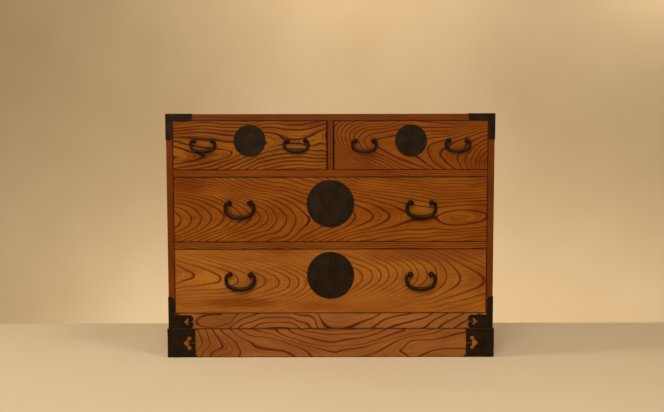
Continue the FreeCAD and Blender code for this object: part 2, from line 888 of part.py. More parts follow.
def bail_shape(kind):
    """A whole bail: two halves and the grip between them, which swells towards its middle."""
    pin, knob, arm, grip_half = bail_half(kind)
    radius = size(kind + "_bail_radius")
    drop = size(kind + "_bail_drop")
    left_end = Vector(-grip_half, 0, -drop)
    right_end = Vector(grip_half, 0, -drop)
    swell = Part.Arc(
        left_end + UP * radius,
        Vector(0, 0, -drop + size(kind + "_bail_grip_radius")),
        right_end + UP * radius,
    ).toShape()
    profile = Part.Wire([
        Part.makeLine(left_end, left_end + UP * radius),
        swell,
        Part.makeLine(right_end + UP * radius, right_end),
        Part.makeLine(right_end, left_end),
    ])
    grip = Part.Face(profile).revolve(left_end, ACROSS, 360)
    mirrored = [piece.mirror(Vector(), ACROSS) for piece in (pin, knob, arm)]
    return grip.fuse([pin, knob, arm] + mirrored).removeSplitter()


def make_bail(name, kind, side, direction):
    """Place a bail so that its pins lie in the eyes of its posts, hanging plumb."""
    centre_x = size(name + "_centre") + direction * size(kind + "_pull_offset")
    pivot_y = size("front_y") - size(kind + "_post_standoff")
    built(name + "_" + side + "_bail", bail_shape(kind), Vector(centre_x, pivot_y, size(name + "_pull")))


# Iron corner fittings


def outline(points, across, along):
    """Closed wire through points (across, along, rounding radius), each corner rounded by its radius."""
    corners = [across * point[0] + along * point[1] for point in points]
    radii = [point[2] for point in points]
    starts = []
    ends = []
    arcs = []
    for index, corner in enumerate(corners):
        before = (corners[index - 1] - corner).normalize()
        after = (corners[(index + 1) % len(corners)] - corner).normalize()
        radius = radii[index]
        half_angle = before.getAngle(after) / 2
        reach = radius / math.tan(half_angle)
        starts.append(corner + before * reach)
        ends.append(corner + after * reach)
        middle = corner + (before + after).normalize() * (radius / math.sin(half_angle) - radius)
        arcs.append(Part.Arc(starts[-1], middle, ends[-1]).toShape() if radius else None)
    edges = []
    for index, arc in enumerate(arcs):
        if arc:
            edges.append(arc)
        end = starts[(index + 1) % len(corners)]
        if not near((end - ends[index]).Length, 0):
            edges.append(Part.makeLine(ends[index], end))
    return Part.Wire(edges)


def slab(wire, origin, normal, thickness):
    face = Part.Face(wire)
    face.translate(origin)
    return face.extrude(normal * thickness)


def spade(kind, mouth):
    """Cutting tool for a spade that points to the chest's corner, with a slit to the plate's inner edge.

    Its own frame has the fitting's outer edge at x 0 and the middle of the slit at z 0.
    """
    tip = size(kind + "_spade_tip")
    lobe = size(kind + "_spade_lobe")
    spread = size(kind + "_spade_spread")
    lobe_radius = size(kind + "_spade_lobe_radius")
    overrun = size("overrun")
    depth = size("fitting_thickness") + 2 * overrun
    slit = size("spade_slit")
    flare = slit * MOUTH_FLARE_SHARE
    shoulder = spread + lobe_radius * SPADE_SHOULDER_SHARE
    blade = outline([(tip, 0, 0), (lobe, shoulder, 0), (lobe, -shoulder, 0)], ACROSS, UP)
    rim = mouth + overrun
    lips = outline([(mouth - flare, 0, 0), (rim, flare, 0), (rim, -flare, 0)], ACROSS, UP)
    tool = Part.Face(blade).extrude(DEEP * depth).fuse([
        Part.makeCylinder(lobe_radius, depth, Vector(lobe, 0, spread), DEEP),
        Part.makeCylinder(lobe_radius, depth, Vector(lobe, 0, -spread), DEEP),
        Part.makeBox(rim - lobe, depth, slit, Vector(lobe, 0, -slit / 2)),
        Part.Face(lips).extrude(DEEP * depth),
    ])
    tool.translate(DEEP * (-size("fitting_thickness") - overrun))
    return tool


def ease_outside(shape, planes):
    """Round the edges where two of the given outer planes (axis letter, place) meet."""
    chosen = []
    for edge in shape.Edges:
        ends = [vertex.Point for vertex in edge.Vertexes]
        met = [
            plane for plane in planes
            if all(near(getattr(end, plane[0]), plane[1]) for end in ends)
        ]
        if len(met) > 1:
            chosen.append(edge)
    return shape.makeFillet(size("fitting_easing"), chosen)


def joined_plates(plates, planes, tools):
    plate = plates[0].fuse(plates[1:]).removeSplitter()
    plate = ease_outside(plate, planes)
    return plate.cut(tools)


def top_fitting():
    """Left top fitting: an angle on the front, a flap on the top and a flap on the side."""
    thickness = size("fitting_thickness")
    leg = size("fitting_leg")
    corner = size("fitting_corner")
    length = size("top_fitting_length")
    height = size("top_fitting_height")
    flap = size("flap_depth")
    origin = Vector(-size("half_width"), size("front_y"), size("total_height"))
    front = outline([
        (-thickness, thickness, 0), (length, thickness, 0), (length, -leg, corner), (leg, -leg, 0),
        (leg, -height, corner), (-thickness, -height, 0),
    ], ACROSS, UP)
    top = outline([
        (-thickness, 0, 0), (length, 0, 0), (length, flap, corner), (-thickness, flap, 0),
    ], ACROSS, DEEP)
    side = outline([
        (0, thickness, 0), (flap, thickness, 0), (flap, -height, corner), (0, -height, 0),
    ], DEEP, UP)
    plates = [
        slab(front, origin, -DEEP, thickness),
        slab(top, origin, UP, thickness),
        slab(side, origin, -ACROSS, thickness),
    ]
    planes = [
        ("x", origin.x - thickness), ("y", origin.y - thickness), ("z", origin.z + thickness),
    ]
    return joined_plates(plates, planes, nail_holes(top_nails()))


def bottom_fitting():
    """Left fitting at the foot of the case: an angle on the front with a spade, and one on the side."""
    thickness = size("fitting_thickness")
    leg = size("fitting_leg")
    corner = size("fitting_corner")
    length = size("bottom_fitting_length")
    height = size("bottom_fitting_height")
    arm = size("bottom_fitting_arm")
    tip = size("bottom_fitting_tip")
    scallop = size("bottom_fitting_scallop")
    flap = size("bottom_flap_depth")
    origin = Vector(-size("half_width"), size("front_y"), size("base_height") + size("bottom_fitting_gap"))
    front = outline([
        (-thickness, 0, 0), (length, 0, scallop), (length, arm, scallop), (leg, arm, 0),
        (leg, height, tip), (-thickness, height, 0),
    ], ACROSS, UP)
    side = outline([
        (0, 0, 0), (flap, 0, corner), (flap, arm, corner), (leg, arm, 0), (leg, height, tip), (0, height, 0),
    ], DEEP, UP)
    plates = [slab(front, origin, -DEEP, thickness), slab(side, origin, -ACROSS, thickness)]
    planes = [("x", origin.x - thickness), ("y", origin.y - thickness)]
    opening = spade("bottom", length)
    opening.translate(origin + UP * arm / 2)
    return joined_plates(plates, planes, nail_holes(bottom_nails()) + [opening])


def base_fitting():
    """Left fitting of the base: a plate with flared corners and a spade, and a flap on the side."""
    thickness = size("fitting_thickness")
    corner = size("fitting_corner")
    margin = size("base_fitting_margin")
    head = size("base_fitting_top_length")
    waist = size("base_fitting_waist_length")
    foot = size("base_fitting_foot_length")
    flap = size("base_flap_depth")
    top = size("base_height") - margin
    origin = Vector(-size("base_half_width"), size("base_front_y"), 0)
    foot_flare = foot - waist
    head_flare = head - waist
    curve_share = 1 - 0.5 ** 0.5
    front = Part.Wire([
        Part.makeLine(Vector(-thickness, 0, margin), Vector(foot, 0, margin)),
        Part.Arc(
            Vector(foot, 0, margin),
            Vector(waist + foot_flare * curve_share, 0, margin + foot_flare * curve_share),
            Vector(waist, 0, margin + foot_flare),
        ).toShape(),
        Part.makeLine(Vector(waist, 0, margin + foot_flare), Vector(waist, 0, top - head_flare)),
        Part.Arc(
            Vector(waist, 0, top - head_flare),
            Vector(waist + head_flare * curve_share, 0, top - head_flare * curve_share),
            Vector(head, 0, top),
        ).toShape(),
        Part.makeLine(Vector(head, 0, top), Vector(-thickness, 0, top)),
        Part.makeLine(Vector(-thickness, 0, top), Vector(-thickness, 0, margin)),
    ])
    side = outline([(0, margin, 0), (flap, margin, corner), (flap, top, corner), (0, top, 0)], DEEP, UP)
    plates = [slab(front, origin, -DEEP, thickness), slab(side, origin, -ACROSS, thickness)]
    planes = [("x", origin.x - thickness), ("y", origin.y - thickness)]
    opening = spade("base", waist)
    opening.translate(origin + UP * size("base_height") / 2)
    return joined_plates(plates, planes, nail_holes(base_nails()) + [opening])


def make_fittings():
    for label, left in (
        ("top_corner_plates", top_fitting()),
        ("bottom_corner_plates", bottom_fitting()),
        ("base_corner_plates", base_fitting()),
    ):
        built(label, Part.Compound([left, left.mirror(Vector(), ACROSS)]))


# Nails of the left fittings: each is the point under its head on the wood, and the head's outward direction.


def top_nails():
    inset = size("nail_edge_inset")
    far = size("nail_far_inset")
    length = size("top_fitting_length")
    height = size("top_fitting_height")
    flap = size("flap_depth")
    middle = size("fitting_leg") / 2
    origin = Vector(-size("half_width"), size("front_y"), size("total_height"))
    return [
        (origin + Vector(inset, 0, -inset), -DEEP),
        (origin + Vector(length - far, 0, -middle), -DEEP),
        (origin + Vector(middle, 0, far - height), -DEEP),
        (origin + Vector(length - far, flap - inset, 0), UP),
        (origin + Vector(far + inset, flap - inset, 0), UP),
        (origin + Vector(0, flap - inset, -inset), -ACROSS),
        (origin + Vector(0, flap - inset, far - height), -ACROSS),
    ]


def bottom_nails():
    inset = size("nail_edge_inset")
    far = size("nail_far_inset")
    height = size("bottom_fitting_height")
    arm = size("bottom_fitting_arm")
    flap = size("bottom_flap_depth")
    middle = size("fitting_leg") / 2
    origin = Vector(-size("half_width"), size("front_y"), size("base_height") + size("bottom_fitting_gap"))
    return [
        (origin + Vector(middle, 0, inset), -DEEP),
        (origin + Vector(middle, 0, height - far - inset), -DEEP),
        (origin + Vector(far + inset + middle, 0, arm / 2), -DEEP),
        (origin + Vector(0, flap - inset, arm - inset), -ACROSS),
        (origin + Vector(0, flap - inset, inset), -ACROSS),
        (origin + Vector(0, far + inset / 2, height - far - inset), -ACROSS),
    ]


def base_nails():
    inset = size("nail_edge_inset")
    far = size("nail_far_inset")
    waist = size("base_fitting_waist_length")
    flap = size("base_flap_depth")
    height = size("base_height")
    origin = Vector(-size("base_half_width"), size("base_front_y"), 0)
    places = []
    for level in (far, height - far):
        places.append((origin + Vector(far + inset / 2, 0, level), -DEEP))
        places.append((origin + Vector(waist - inset, 0, level), -DEEP))
        places.append((origin + Vector(0, flap - inset, level), -ACROSS))
        places.append((origin + Vector(0, flap / 2, level), -ACROSS))
    return places


def nail_holes(nails):
    radius = size("nail_shank_radius") + size("nail_hole_fit")
    reach = size("fitting_thickness") + size("overrun")
    return [Part.makeCylinder(radius, reach, point, outward) for point, outward in nails]


def nail(point, outward):
    """A round-headed nail driven in along -outward, its head on the fitting's outer face."""
    head_radius = size("nail_head_radius")
    head_height = size("nail_head_height")
    shank_radius = size("nail_shank_radius")
    ball_radius = (head_radius ** 2 + head_height ** 2) / (2 * head_height)
    half_angle = math.asin(head_radius / ball_radius) / 2
    aside = outward.cross(ACROSS + UP).normalize()
    seat = point + outward * size("fitting_thickness")
    ball_centre = seat - outward * (ball_radius - head_height)
    shoulder = ball_centre + (outward * math.cos(half_angle) + aside * math.sin(half_angle)) * ball_radius
    crown = seat + outward * head_height
    rim = seat + aside * head_radius
    foot = seat - outward * size("nail_length")
    profile = Part.Wire([
        Part.Arc(rim, shoulder, crown).toShape(),
        Part.makeLine(crown, foot),
        Part.makeLine(foot, foot + aside * shank_radius),
        Part.makeLine(foot + aside * shank_radius, seat + aside * shank_radius),
        Part.makeLine(seat + aside * shank_radius, rim),
    ])
    return Part.Face(profile).revolve(seat, outward, 360)


def make_nails():
    places = top_nails() + bottom_nails() + base_nails()
    left = [nail(point, outward) for point, outward in places]
    built("corner_plate_nails", Part.Compound(left + [piece.mirror(Vector(), ACROSS) for piece in left]))


def finish():
    doc.recompute()
    for item in doc.Objects:
        if "Invalid" in item.State or "Error" in item.State:
            raise RuntimeError(item.Label + " failed: " + ", ".join(item.State))
    for item in nodes:
        if item.Shape.isNull() or not item.Shape.isValid():
            raise RuntimeError(item.Label + " has no valid shape")
    os.makedirs("parts", exist_ok=True)
    for item in nodes:
        item.Shape.exportStep(os.path.join("parts", item.Label + ".step"))
        print(item.Label, len(item.Shape.Solids), round(item.Shape.Volume))


fill_sheet()
make_top_board()
make_side_board("left_side_board", "-half_width", "-inner_x - housing_depth")
make_side_board("right_side_board", "inner_x", "inner_x - overrun")
make_bottom_board()
make_back_boards()
make_divider()
make_rail("upper_rail", "middle", "upper_rail_z", "rail_depth", "rail_height", "dust_board_thickness", True)
make_dust_board("upper_dust_board", "upper_floor", True)
make_rail("lower_rail", "lower", "lower_rail_z", "rail_depth", "rail_height", "dust_board_thickness", True)
make_dust_board("lower_dust_board", "middle_floor", False)
make_rail("bottom_rail", "", "base_height", "bottom_rail_thickness", "bottom_rail_height",
          "bottom_board_thickness", False)
make_base_cross_rail("base_front_rail", "base_front_y")
make_base_cross_rail("base_back_rail", "back_y - base_rail_thickness")
make_base_side_rails()
make_glue_blocks()
make_drawer_stops()
for drawer_name, drawer_centre, drawer_width, drawer_floor, drawer_height, drawer_kind in DRAWERS:
    make_front(drawer_name, drawer_kind)
    make_drawer_box(drawer_name)
    make_lock_plate(drawer_name, drawer_kind)
    make_lock(drawer_name)
    make_handle_posts(drawer_name, drawer_kind)
    make_bail(drawer_name, drawer_kind, "left", -1)
    make_bail(drawer_name, drawer_kind, "right", 1)
make_fittings()
make_nails()
finish()
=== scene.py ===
import math

import bpy
from mathutils import Matrix, Vector


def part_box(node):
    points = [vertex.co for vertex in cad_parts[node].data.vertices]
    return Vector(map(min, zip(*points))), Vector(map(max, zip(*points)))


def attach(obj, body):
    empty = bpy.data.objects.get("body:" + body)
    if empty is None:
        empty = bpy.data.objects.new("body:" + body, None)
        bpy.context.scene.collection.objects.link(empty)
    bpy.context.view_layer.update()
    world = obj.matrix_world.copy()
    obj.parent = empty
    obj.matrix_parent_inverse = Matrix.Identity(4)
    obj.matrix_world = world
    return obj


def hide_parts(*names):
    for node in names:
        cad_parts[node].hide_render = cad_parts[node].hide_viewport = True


# The finishes, floor, light and camera of a low clothing chest: lacquered zelkova outside, bare paulownia
# inside, blackened wrought iron on the corners, locks and handles. Lengths in metres unless a name says mm.

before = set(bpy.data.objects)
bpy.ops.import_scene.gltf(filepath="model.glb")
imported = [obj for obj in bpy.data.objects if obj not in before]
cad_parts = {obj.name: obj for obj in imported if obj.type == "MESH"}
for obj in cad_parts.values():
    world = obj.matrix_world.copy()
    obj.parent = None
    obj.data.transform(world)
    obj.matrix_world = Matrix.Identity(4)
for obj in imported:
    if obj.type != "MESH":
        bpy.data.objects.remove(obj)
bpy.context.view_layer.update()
MM_PER_M = 1000


def linear(hex_colour):
    """Linear colour of an sRGB hex value."""
    shares = [int(hex_colour[place:place + 2], 16) / 255 for place in (1, 3, 5)]
    bent = [s / 12.92 if s <= 0.04045 else ((s + 0.055) / 1.055) ** 2.4 for s in shares]
    return (*bent, 1.0)


def add(tree, kind, links=None, values=None, **settings):
    """Add a node with its settings, its inputs' links and its inputs' fixed values, and return it."""
    made = tree.nodes.new(kind)
    for name, value in settings.items():
        setattr(made, name, value)
    for socket, value in (values or {}).items():
        made.inputs[socket].default_value = value
    for socket, source in (links or {}).items():
        tree.links.new(source, made.inputs[socket])
    return made


def new_material(name):
    material = bpy.data.materials.new(name)
    material.use_nodes = True
    material.node_tree.nodes.clear()
    return material


def finish_material(material, surface):
    tree = material.node_tree
    add(tree, "ShaderNodeOutputMaterial", {"Surface": surface.outputs[0]})
    return material


def place_in_mm(tree):
    """The place on the piece, in mm, so that patterns take their scale from real sizes."""
    place = add(tree, "ShaderNodeTexCoord").outputs["Object"]
    in_mm = add(tree, "ShaderNodeVectorMath", {0: place}, {1: (MM_PER_M,) * 3}, operation="MULTIPLY")
    return in_mm.outputs[0]


def calc(tree, operation, first, second=0.0, third=0.0, clamp=False):
    """A math node's result. Each term is a number or another node's output."""
    terms = (first, second, third)
    numbers = {i: term for i, term in enumerate(terms) if isinstance(term, (int, float))}
    sockets = {i: term for i, term in enumerate(terms) if i not in numbers}
    return add(tree, "ShaderNodeMath", sockets, numbers, operation=operation, use_clamp=clamp).outputs[0]


def remap(tree, source, low, high, to_low, to_high):
    """source with its span low to high laid on the span to_low to to_high, and held at both ends."""
    spans = {1: low, 2: high, 3: to_low, 4: to_high}
    return add(tree, "ShaderNodeMapRange", {0: source}, spans).outputs[0]


def mix(tree, share, first, second):
    """A colour share of the way from first to second. Each is a hex value or another node's output."""
    mixed = add(tree, "ShaderNodeMix", {"Factor": share}, data_type="RGBA")
    for socket, colour in ((6, first), (7, second)):
        if isinstance(colour, str):
            mixed.inputs[socket].default_value = linear(colour)
        else:
            tree.links.new(colour, mixed.inputs[socket])
    return mixed.outputs[2]


def follow(tree, source, points):
    """The value of the smooth curve through points (place, value) at source, both in their own units."""
    places, values = zip(*points)
    low, high = min(values), max(values)
    share = remap(tree, source, places[0], places[-1], 0.0, 1.0)
    bend = add(tree, "ShaderNodeFloatCurve", {"Value": share})
    curve = bend.mapping.curves[0]
    for _ in points[2:]:
        curve.points.new(0.5, 0.5)
    for point, (place, value) in zip(curve.points, points):
        point.location = ((place - places[0]) / (places[-1] - places[0]), (value - low) / (high - low))
        point.handle_type = "AUTO_CLAMPED"
    bend.mapping.update()
    return remap(tree, bend.outputs[0], 0.0, 1.0, low, high)


# Zelkova: a ring-porous wood, so each year's ring starts with a band of open pores that takes the lacquer
# dark. Slab-sawn boards show the rings as nested tips and eyes. Wiped lacquer (fuki-urushi) leaves a thin,
# warm red-brown gloss with the pores still open.


def oval_rise(tree, place, where, size_mm, turn, height):
    """A smooth rise, height in the middle of an oval on a board's face and nothing at its edge. size_mm is
    half the oval's length and width, turn is in degrees, and the rise reaches right through the board."""
    endless_mm = 1e6
    local = add(tree, "ShaderNodeMapping", {0: place},
                {"Location": (*where, 0), "Rotation": (0, 0, math.radians(turn)),
                 "Scale": (*size_mm, endless_mm)}, vector_type="TEXTURE")
    distance = add(tree, "ShaderNodeVectorMath", {0: local.outputs[0]}, operation="LENGTH")
    rise = add(tree, "ShaderNodeMapRange", {0: distance.outputs["Value"]},
               {1: 0.0, 2: 1.0, 3: height, 4: 0.0}, interpolation_type="SMOOTHERSTEP")
    return rise.outputs[0]


def zelkova(name, axes, face, outline, rings, centre, width, profile, light, middle, line, seed, swirls=(),
            clouds=(), faintest=0.55, bands=(0.14, 0.38), fade=0.6, depth_mm=14, edge_lacquer_and_shade=0.92):
    """A board's own figure, in mm. axes says which of x, y, z run along, across and into the board, face is
    where its face lies on the third and outline is the face's edges. rings gives the ring number on the
    board's middle line by the place along it, centre where that line lies, width how tight the rings are
    around it and profile the rings passed on the way out from it. Each swirl adds an oval rise of so many
    rings at a place, and each cloud makes a place so much lighter. bands is the dark share of a ring on the
    middle line and far from it, where fade leaves so much of its darkness. faintest is the darkness of the
    palest year as a share of the darkest. A ring is passed every depth_mm into the board. The wood is
    between middle and light in colour, its pore bands tend to line, and edge_lacquer_and_shade is how dark
    the face's edges get, partly from lacquer gathered there and partly as painted shade of the gaps between
    boards."""
    material = new_material(name)
    tree = material.node_tree
    parts = add(tree, "ShaderNodeSeparateXYZ", {0: place_in_mm(tree)})
    along, across, into = (parts.outputs[axis] for axis in axes)
    grain = add(tree, "ShaderNodeCombineXYZ", {0: along, 1: across, 2: into}).outputs[0]

    # A slight wander of the rings, up to 3 mm along the grain and less across it, drawn out along it.
    drawn_out = add(tree, "ShaderNodeMapping", {0: grain},
                    {"Location": (seed * 37.0, seed * 11.0, 0), "Scale": (1 / 70, 1 / 24, 1 / 60)})
    wander = add(tree, "ShaderNodeTexNoise", {"Vector": drawn_out.outputs[0]},
                 {"Scale": 1.0, "Detail": 2.0, "Roughness": 0.5})
    shift = add(tree, "ShaderNodeVectorMath", {0: wander.outputs["Color"]},
                {1: (0.5, 0.5, 0.5)}, operation="SUBTRACT")
    pushed = add(tree, "ShaderNodeVectorMath", {0: shift.outputs[0], 2: grain},
                 {1: (6, 3.5, 3)}, operation="MULTIPLY_ADD").outputs[0]
    warped = add(tree, "ShaderNodeSeparateXYZ", {0: pushed})
    along_warped, across_warped = warped.outputs[0], warped.outputs[1]

    from_centre = calc(tree, "SUBTRACT", across_warped, follow(tree, along_warped, centre))
    offset = calc(tree, "MULTIPLY", from_centre, follow(tree, along_warped, width))
    number = calc(tree, "ADD", follow(tree, along_warped, rings), follow(tree, offset, profile))
    for swirl in swirls:
        number = calc(tree, "ADD", number, oval_rise(tree, pushed, *swirl))
    deep = calc(tree, "MULTIPLY", calc(tree, "SUBTRACT", into, face), 1 / depth_mm)
    number = calc(tree, "ADD", number, deep)

    # One ring: the dark pore band starts sharply and fades into the pale late wood. It takes a larger share
    # of the ring where the rings are tight. Some years are darker than others.
    within = calc(tree, "FRACT", number)
    year = calc(tree, "FLOOR", number)
    tight = calc(tree, "ABSOLUTE", offset)
    reach = remap(tree, tight, 0, 60, *bands)
    passed = calc(tree, "DIVIDE", within, reach, clamp=True)
    band = follow(tree, passed, [(0, 0.9), (0.15, 1), (0.38, 0.85), (0.62, 0.3), (0.85, 0.06), (1, 0)])
    ahead = remap(tree, within, 0.92, 1.0, 0.0, 0.75)
    strength = add(tree, "ShaderNodeTexWhiteNoise", {"W": calc(tree, "ADD", year, seed * 0.37)},
                   noise_dimensions="1D")
    weight = remap(tree, strength.outputs["Value"], 0, 1, faintest, 1.0)
    paler = remap(tree, tight, 20, 100, 1.0, fade)
    darkness = calc(tree, "MULTIPLY", calc(tree, "MAXIMUM", band, ahead),
                    calc(tree, "MULTIPLY", weight, paler))

    # Faint lines that run with the rings, fibres 1.6 mm across and 45 mm long (coarser than real ones, so
    # that they show), and broad patches that took more or less lacquer.
    beside = add(tree, "ShaderNodeCombineXYZ",
                 {0: calc(tree, "MULTIPLY", number, 8.5), 1: calc(tree, "MULTIPLY", along, 1 / 160)})
    threads = add(tree, "ShaderNodeTexNoise", {"Vector": beside.outputs[0]},
                  {"Scale": 1.0, "Detail": 3.0, "Roughness": 0.6})
    fibre_place = add(tree, "ShaderNodeMapping", {0: grain}, {"Scale": (1 / 45, 1 / 1.6, 1 / 1.6)})
    fibres = add(tree, "ShaderNodeTexNoise", {"Vector": fibre_place.outputs[0]},
                 {"Scale": 1.0, "Detail": 3.0, "Roughness": 0.6})
    patch_place = add(tree, "ShaderNodeMapping", {0: grain}, {"Scale": (1 / 150, 1 / 40, 1 / 40)})
    patches = add(tree, "ShaderNodeTexNoise", {"Vector": patch_place.outputs[0]},
                  {"Scale": 1.0, "Detail": 2.0, "Roughness": 0.5})
    tone = calc(tree, "MULTIPLY_ADD", threads.outputs["Fac"], 1.9,
                calc(tree, "MULTIPLY_ADD", fibres.outputs["Fac"], 0.9, patches.outputs["Fac"]))
    lightness = remap(tree, tone, 1.4, 2.4, 0.0, 1.0)
    for where, size_mm, change in clouds:
        lightness = calc(tree, "ADD", lightness, oval_rise(tree, pushed, where, size_mm, 0, change))
    grained = mix(tree, darkness, mix(tree, lightness, middle, light), line)

    # Lacquer gathers along the last few millimetres before the face's edges, and painted shade of the
    # gaps between boards darkens them further.
    left, right, low, high = outline
    to_end = calc(tree, "SUBTRACT", (right - left) / 2,
                  calc(tree, "ABSOLUTE", calc(tree, "SUBTRACT", along, (left + right) / 2)))
    to_side = calc(tree, "SUBTRACT", (high - low) / 2,
                   calc(tree, "ABSOLUTE", calc(tree, "SUBTRACT", across, (low + high) / 2)))
    edge = remap(tree, calc(tree, "MINIMUM", to_end, to_side), 1.2, 4.6, edge_lacquer_and_shade, 0.0)
    colour = mix(tree, edge, grained, "#2A0E02")

    # The lacquer sinks into the pore bands, which are rougher and a little lower.
    rough = remap(tree, darkness, 0, 1, 0.36, 0.52)
    height = calc(tree, "MULTIPLY_ADD", darkness, -0.8, fibres.outputs["Fac"])
    relief = add(tree, "ShaderNodeBump", {"Height": height}, {"Strength": 0.25, "Distance": 0.0004})
    surface = add(tree, "ShaderNodeBsdfPrincipled",
                  {"Base Color": colour, "Roughness": rough, "Normal": relief.outputs[0]},
                  {"Specular IOR Level": 0.08})
    return finish_material(material, surface)


# Paulownia: a pale, soft, bare wood for drawer boxes, dust boards and the back. Faint straight grain.


def paulownia(name, axes, seed, first_seam=-2e4, board_mm=4e4):
    """Bare boards. axes says which of x, y, z run along, across and into them. Edge to edge across, from
    first_seam on, each is board_mm wide and a little lighter or darker than the next. Where neither is
    given, the piece is one board without a seam."""
    material = new_material(name)
    tree = material.node_tree
    parts = add(tree, "ShaderNodeSeparateXYZ", {0: place_in_mm(tree)})
    along, across, into = (parts.outputs[axis] for axis in axes)
    passed = calc(tree, "MULTIPLY", calc(tree, "SUBTRACT", across, first_seam), 1 / board_mm)
    board = calc(tree, "FLOOR", passed)
    share_of_board = calc(tree, "FRACT", passed)
    left_of_board = calc(tree, "SUBTRACT", 1.0, share_of_board)
    to_seam = calc(tree, "MULTIPLY", calc(tree, "MINIMUM", share_of_board, left_of_board), board_mm)
    own_tone = add(tree, "ShaderNodeTexWhiteNoise", {"W": calc(tree, "ADD", board, seed * 0.73)},
                   noise_dimensions="1D")
    own_place = calc(tree, "MULTIPLY_ADD", board, 733.0, along)
    grain = add(tree, "ShaderNodeCombineXYZ", {0: own_place, 1: across, 2: into})
    rings_place = add(tree, "ShaderNodeMapping", {0: grain.outputs[0]},
                      {"Location": (seed * 3.1, seed * 1.7, 0), "Scale": (1 / 900, 1 / 16, 1 / 16)})
    rings = add(tree, "ShaderNodeTexNoise", {"Vector": rings_place.outputs[0]},
                {"Scale": 1.0, "Detail": 4.0, "Roughness": 0.6, "Distortion": 0.3})
    fibre_place = add(tree, "ShaderNodeMapping", {0: grain.outputs[0]},
                      {"Scale": (1 / 60, 1 / 1.4, 1 / 1.4)})
    fibres = add(tree, "ShaderNodeTexNoise", {"Vector": fibre_place.outputs[0]},
                 {"Scale": 1.0, "Detail": 2.0, "Roughness": 0.6})
    tone = calc(tree, "MULTIPLY_ADD", fibres.outputs["Fac"], 0.35, rings.outputs["Fac"])
    level = calc(tree, "MULTIPLY_ADD", own_tone.outputs["Value"], 0.22, tone)
    bare = mix(tree, remap(tree, level, 0.56, 1.06, 0, 1), "#A98A5E", "#CDB384")
    seam = remap(tree, to_seam, 0.5, 2.2, 0.85, 0.0)
    relief = add(tree, "ShaderNodeBump", {"Height": tone}, {"Strength": 0.2, "Distance": 0.0003})
    surface = add(tree, "ShaderNodeBsdfPrincipled",
                  {"Base Color": mix(tree, seam, bare, "#4A3620"), "Normal": relief.outputs[0]},
                  {"Roughness": 0.68, "Specular IOR Level": 0.3})
    return finish_material(material, surface)


# Wrought iron, blackened by burning lacquer on to it: near black, with a dull gloss that the hammer marks
# break up and a trace of brown where it has been handled.


def black_iron(name, dark="#251A0E", worn="#332516", marks_mm=14):
    """Iron between dark and worn in colour, with hammer marks marks_mm apart and a fine scale."""
    material = new_material(name)
    tree = material.node_tree
    in_mm = place_in_mm(tree)
    marks = add(tree, "ShaderNodeTexVoronoi", {"Vector": in_mm}, {"Scale": 1 / marks_mm},
                feature="SMOOTH_F1")
    fine_scale = add(tree, "ShaderNodeTexNoise", {"Vector": in_mm},
                     {"Scale": 1 / 2.2, "Detail": 4.0, "Roughness": 0.65})
    patches = add(tree, "ShaderNodeTexNoise", {"Vector": in_mm},
                  {"Scale": 1 / 38, "Detail": 3.0, "Roughness": 0.55})
    colour = mix(tree, remap(tree, patches.outputs["Fac"], 0.35, 0.75, 0, 1), dark, worn)
    rough = remap(tree, fine_scale.outputs["Fac"], 0.3, 0.7, 0.42, 0.62)
    height = calc(tree, "MULTIPLY_ADD", fine_scale.outputs["Fac"], 0.25, marks.outputs["Distance"])
    relief = add(tree, "ShaderNodeBump", {"Height": height}, {"Strength": 0.35, "Distance": 0.0008})
    surface = add(tree, "ShaderNodeBsdfPrincipled",
                  {"Base Color": colour, "Roughness": rough, "Normal": relief.outputs[0]},
                  {"Metallic": 0.92})
    return finish_material(material, surface)


# Which of x, y, z run along, across and into an upright board
ALONG_X = (0, 2, 1)
ALONG_Z = (2, 0, 1)
# The Y of the front's faces, in mm
DRAWER_FACE = -216.75
BASE_FACE = -220.75

# The figure of each board on the front follows the photo. On the others it is made up. The front's
# colours grow paler towards the bottom, most in the lower drawer and the base: partly the boards' own
# tone, partly painted light of the floor's bounce.
upper_left_wood = zelkova(
    "zelkova_upper_left", ALONG_X, DRAWER_FACE, (-582.1, -12.9, 702.8, 885),
    rings=[(-582, 0.11), (-540, 0.49), (-500, 0.84), (-460, 1.26), (-425, 1.7), (-390, 2.23),
           (-340, 2.65), (-290, 2.89), (-240, 3.1), (-200, 3.46), (-160, 3.86), (-120, 3.92), (-90, 3.69),
           (-60, 3.3), (-35, 2.88), (-13, 2.31)],
    centre=[(-582, 750), (-480, 759), (-390, 766), (-300, 785), (-240, 802), (-120, 809), (-13, 814)],
    width=[(-582, 1.13), (-400, 1), (-250, 1.18), (-100, 1.15), (-13, 1.33)],
    profile=[(-220, 13.71), (-150, 8.71), (-105, 5.57), (-75, 3.72), (-50, 2.12), (-30, 1.04),
             (-15, 0.29), (0, 0), (15, 0.29), (30, 0.47), (50, 1.16), (75, 2.42), (105, 4.75),
             (150, 8.57), (220, 14.6)],
    swirls=[((-395, 762), (70, 34), 0, -0.58), ((-490, 800), (110, 45), 0, 0.7),
            ((-300, 790), (110, 50), 0, -0.29), ((-440, 740), (120, 40), 10, -0.34),
            ((-220, 770), (120, 45), 15, 0.44), ((-60, 850), (110, 50), 0, 0.41),
            ((-20, 800), (60, 40), 0, 1.03), ((-340, 730), (120, 40), 20, 0.1),
            ((-540, 740), (80, 40), 0, -0.12)],
    clouds=[((-470, 730), (190, 75), -0.15), ((-110, 770), (150, 110), 0.25)],
    light="#A05E0F", middle="#5C2201", line="#380300", seed=1, faintest=0.9, bands=(0.26, 0.5), fade=0.9,
)
